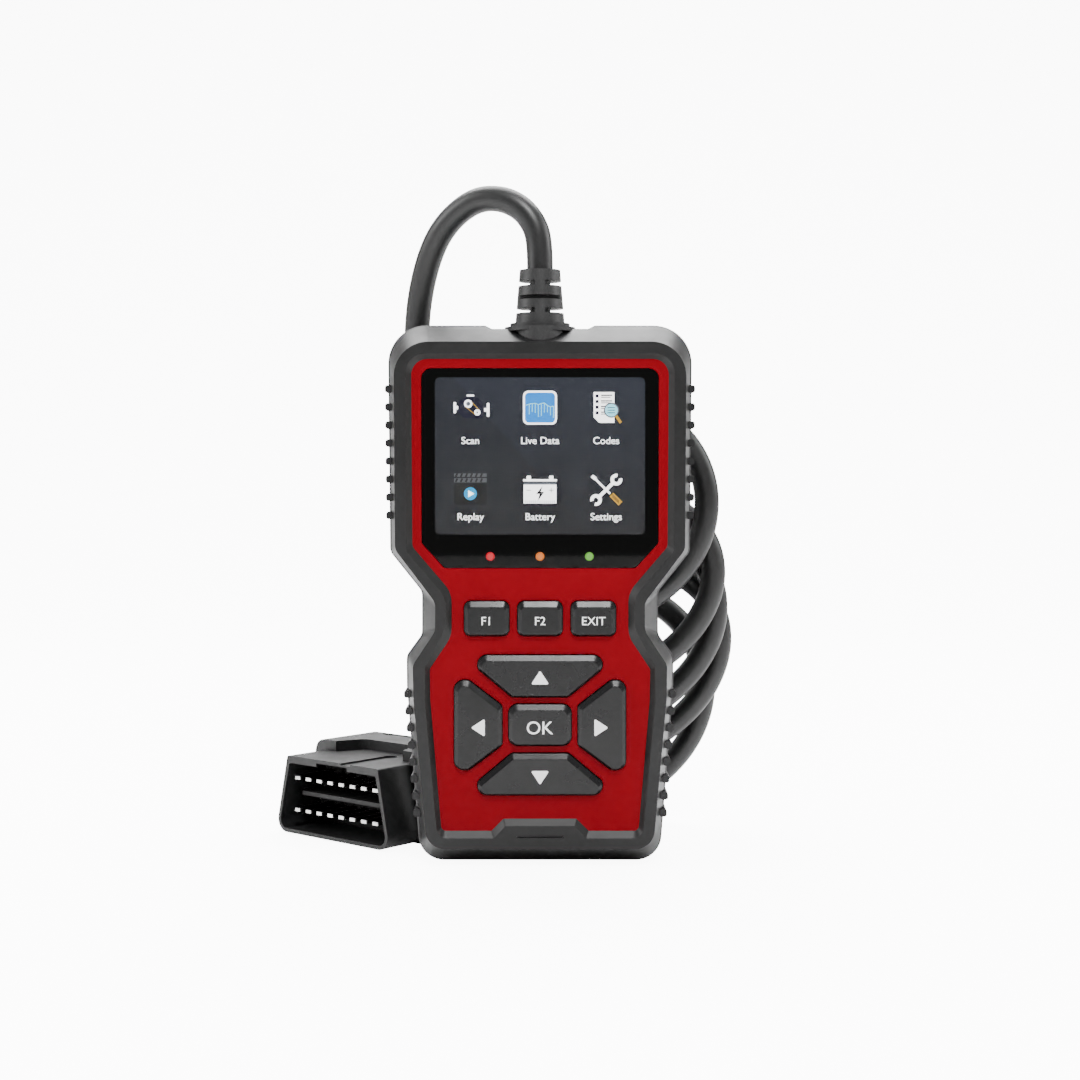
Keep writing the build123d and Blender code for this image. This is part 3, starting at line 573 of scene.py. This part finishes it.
# ---------------------------------------------------------------- legends on the keys
KEY_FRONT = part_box("key_ok")[0][1] / MM
LEGEND_PROUD = 0.04
SOFT_KEY_X = 12.3
SOFT_KEY_Z = 56.35
SOFT_LEGEND = 2.75         # height of the letters' line on the soft keys
OK_LEGEND = 4.2
LEGEND_BOLD = 0.004        # times the size
ARROW_INSET = 0.86
ARROW_RADIUS = 0.25


def triangle(x, z, turn):
    """A small arrowhead with soft corners, pointing up before it is turned."""
    corners = ((0, 1.55, 30), (-1.9, -1.35, 150), (1.9, -1.35, 270))
    soft = [p for dx, dz, start in corners
            for p in arc(x + dx * ARROW_INSET, z + dz * ARROW_INSET, ARROW_RADIUS, start, start + 120, 5)]
    return turned(soft, x, z, turn)


def make_legends(white):
    words = (("f1", "F1", -SOFT_KEY_X, SOFT_KEY_Z, SOFT_LEGEND), ("f2", "F2", 0, SOFT_KEY_Z, SOFT_LEGEND),
             ("exit", "EXIT", SOFT_KEY_X, SOFT_KEY_Z, SOFT_LEGEND), ("ok", "OK", -0.1, 31.75, OK_LEGEND))
    for key, text, x, z, size in words:
        lettering("legend_" + key, text, x, z, KEY_FRONT - LEGEND_PROUD, size, white, "button_" + key,
                  bold=LEGEND_BOLD * size, thick=2 * LEGEND_PROUD)
    arrows = (("up", 0, 43.3, 0), ("down", 0, 20.6, 180), ("left", -14.1, 31.95, 90),
              ("right", 13.9, 31.95, -90))
    for key, x, z, turn in arrows:
        prisms("legend_" + key, [triangle(x, z, turn)], KEY_FRONT - LEGEND_PROUD, 2 * LEGEND_PROUD, white,
               "button_" + key)


# ---------------------------------------------------------------- the screen's picture
SCREEN_DEPTH = -7.95       # the picture lies just in front of the glass, behind the lens
LAYER = 0.03               # each layer of the picture stands this much in front of the last
COLUMNS = (-16.1, 0.0, 15.3)
UPPER_Z = 105.6            # the two rows of icons, then the words under them
LOWER_Z = 86.6
UPPER_WORD_Z = 97.9
LOWER_WORD_Z = 80.3
WORD_SIZE = 2.35
WORD_BOLD = 0.003


def layer(name, shapes, level, material):
    prisms("screen_" + name, shapes, SCREEN_DEPTH - LAYER * level, LAYER, material, "case")


def engine_icon(x, z, inks):
    block = [(x - 2.6, z + 1.4), (x - 1.5, z + 2.3), (x + 1.7, z + 2.3), (x + 2.9, z + 1.2),
             (x + 3.0, z - 2.4), (x - 1.6, z - 2.4), (x - 2.8, z - 1.2)]
    layer("engine_block", [block], 1, inks["navy"])
    bars = [panel(x - 3.6, z, 0.6, 2.6, 0.25), panel(x + 4.1, z - 0.5, 0.6, 3.2, 0.25),
            panel(x, z + 2.8, 1.7, 0.4, 0.15), panel(x - 3.1, z, 0.5, 0.8), panel(x + 3.5, z - 0.5, 0.6, 0.8)]
    wheels = [disc(x - 0.5, z + 0.9, 0.95), disc(x + 1.6, z - 1.1, 0.7)]
    layer("engine_white", bars + wheels, 2, inks["white"])
    belt = [stroke(x - 1.1, z + 0.2, x + 1.1, z - 1.6, 0.14),
            stroke(x + 0.2, z + 1.4, x + 2.1, z - 0.6, 0.14)]
    layer("engine_belt", belt, 3, inks["yellow"])
    layer("engine_hubs", [disc(x - 0.5, z + 0.9, 0.5), disc(x + 1.6, z - 1.1, 0.25)], 3, inks["steel"])


def chart_icon(x, z, inks):
    layer("chart_edge", [panel(x, z, 7.85, 7.85, 1.25)], 1, inks["white"])
    layer("chart_tile", [panel(x, z, 6.95, 6.95, 0.9)], 2, inks["tile"])
    tops = (0.55, 0.8, 0.95, 1.0, 0.7, 0.95, 1.1, 0.5, 0.2, 0.35)
    places = [x - 3.2 + 0.7 * i for i in range(len(tops))]
    line = [stroke(places[i], z + tops[i], places[i + 1], z + tops[i + 1], 0.16)
            for i in range(len(tops) - 1)]
    bars = [stroke(at, z + top, at, z - 2.6 + abs(math.sin(7 * i)) * 1.6, 0.16)
            for i, (at, top) in enumerate(zip(places, tops)) if i > 0]
    layer("chart_line", line + bars, 3, inks["pale"])


def page_icon(x, z, inks):
    sheet = [(x - 2.9, z + 3.6), (x - 2.9, z - 2.2), (x - 1.6, z - 3.5), (x + 1.9, z - 3.5),
             (x + 1.9, z + 3.6)]
    layer("page", [sheet], 1, inks["white"])
    rows = [z + 2.7 - 1.3 * i for i in range(4)]
    ticks = [panel(x - 2.1, row, 0.7, 0.7) for row in rows]
    long_lines = [panel(x + 0.1, row + 0.15, 2.6, 0.28) for row in rows]
    short_lines = [panel(x - 0.1, row - 0.3, 2.2, 0.2) for row in rows]
    layer("page_lines", ticks + long_lines + short_lines, 2, inks["navy"])
    layer("page_glass_ring", [disc(x + 1.2, z - 0.6, 1.75)], 3, inks["steel"])
    layer("page_glass", [disc(x + 1.2, z - 0.6, 1.45)], 4, inks["pale"])
    seen_lines = [panel(x + 1.2, z - 0.6 + step, 1.8, 0.18) for step in (-0.6, 0.0, 0.6)]
    layer("page_glass_lines", seen_lines, 5, inks["navy"])
    layer("page_handle", [stroke(x + 2.3, z - 1.9, x + 3.4, z - 3.5, 0.65)], 4, inks["yellow"])


def clapper_icon(x, z, inks):
    layer("clapper_box", [panel(x, z - 1.0, 7.6, 4.9, 0.6)], 1, inks["black"])
    layer("clapper_bars", [panel(x, z + 2.2, 7.6, 1.0), panel(x, z + 3.4, 7.6, 0.8)], 2, inks["grey"])
    stripes = [stroke(x - 3.4 + 1.15 * i, z + lift - 0.4, x - 3.0 + 1.15 * i, z + lift + 0.4, 0.4)
               for i in range(6) for lift in (2.2, 3.4)]
    layer("clapper_stripes", stripes, 3, inks["dark"])
    layer("clapper_disc", [disc(x, z - 0.9, 1.5)], 3, inks["cyan"])
    layer("clapper_play", [[(x - 0.5, z - 0.1), (x - 0.5, z - 1.7), (x + 0.9, z - 0.9)]], 4, inks["white"])


def battery_icon(x, z, inks):
    body = [panel(x, z - 0.9, 7.6, 4.5), panel(x, z + 2.2, 7.8, 0.5)]
    posts = [panel(x + side * 2.6, z + 2.6, 1.0, 1.3, 0.2) for side in (-1, 1)]
    layer("battery_body", body + posts, 1, inks["white"])
    layer("battery_lid", [panel(x, z + 1.45, 7.6, 0.5)], 2, inks["steel"])
    bolt = [(x + 0.6, z + 0.9), (x - 0.9, z - 0.95), (x - 0.1, z - 0.95), (x - 0.5, z - 2.6),
            (x + 0.95, z - 0.5), (x + 0.15, z - 0.5)]
    signs = [panel(x - 2.6, z - 0.1, 1.1, 0.16), panel(x + 2.6, z - 0.1, 1.1, 0.16),
             panel(x + 2.6, z - 0.1, 0.16, 1.1)]
    hatch = [panel(x - 3.3 + 0.44 * i, z - 2.75, 0.12, 0.6) for i in range(16)]
    layer("battery_bolt", [bolt], 2, inks["black"])
    layer("battery_marks", signs + hatch, 2, inks["grey"])


def tools_icon(x, z, inks):
    shaft = stroke(x - 2.0, z - 2.0, x + 1.9, z + 1.9, 0.75)
    heads = []
    for side in (1, -1):
        ring = arc(x + side * 2.35, z + side * 2.35, 1.35, 75, 375, 20)
        notch = arc(x + side * 2.35, z + side * 2.35, 0.6, 375, 75, 10)
        heads.append(turned(ring + notch, x + side * 2.35, z + side * 2.35, 0 if side > 0 else 180))
    layer("wrench", [shaft] + heads, 2, inks["white"])
    layer("driver_shaft", [stroke(x - 2.7, z + 2.7, x + 0.9, z - 0.9, 0.45),
                           stroke(x - 3.3, z + 3.2, x - 2.4, z + 2.5, 0.8)], 1, inks["white"])
    layer("driver_handle", [stroke(x + 1.2, z - 1.1, x + 3.3, z - 3.2, 1.25)], 3, inks["yellow"])
    grooves = [stroke(x + 1.4, z - 1.3 + 0.3 * i, x + 3.0, z - 2.9 + 0.3 * i, 0.12) for i in (-1, 0, 1)]
    layer("driver_handle_lines", grooves, 4, inks["rust"])


def make_picture():
    colours = {
        "white": ((250, 250, 250), 3.5), "navy": ((6, 4, 40), 1), "yellow": ((215, 165, 40), 1.3),
        "steel": ((120, 125, 135), 1), "tile": ((0, 150, 255), 1.3), "pale": ((150, 235, 255), 2),
        "black": ((3, 3, 4), 1), "grey": ((90, 92, 96), 1), "dark": ((30, 31, 33), 1),
        "cyan": ((0, 170, 235), 1.3), "rust": ((110, 60, 30), 1),
    }
    inks = {name: glow("screen_" + name, srgb(*colour), power) for name, (colour, power) in colours.items()}
    ground = panel(0, (SCREEN_LOW + SCREEN_HIGH) / 2, 2 * SCREEN_HALF, SCREEN_HIGH - SCREEN_LOW, 1.2)
    layer("ground", [ground], 0, screen_glow("screen_ground"))
    draw = ((engine_icon, chart_icon, page_icon), (clapper_icon, battery_icon, tools_icon))
    for row, z in zip(draw, (UPPER_Z, LOWER_Z)):
        for icon, x in zip(row, COLUMNS):
            icon(x, z, inks)
    names = (("Scan", "Live Data", "Codes"), ("Replay", "Battery", "Settings"))
    for row, z in zip(names, (UPPER_WORD_Z, LOWER_WORD_Z)):
        for text, x in zip(row, COLUMNS):
            lettering("label_" + text.replace(" ", "_").lower(), text, x, z, SCREEN_DEPTH - 2 * LAYER,
                      WORD_SIZE, inks["white"], "case", bold=WORD_BOLD)


# ---------------------------------------------------------------- making it
make_camera()
make_stage()
make_world()
looks = make_materials()
cord = make_cord(looks["cord"])
dress_nodes(looks)
make_legends(looks["legend"])
make_picture()
make_light("key_light", (0.10, -0.62, 0.80), (0, 0, 0.06), 0.30, 10.0, 0.20)
make_light("top_light", (0, 0.45, 0.85), (0, 0, 0.10), 1.0, 20.0, 0.5)
make_light("left_light", (-0.75, -0.10, 0.45), (0, 0, 0.07), 0.4, 4.0)
make_light("right_light", (0.75, 0.05, 0.45), (0, 0, 0.07), 0.4, 3.0)
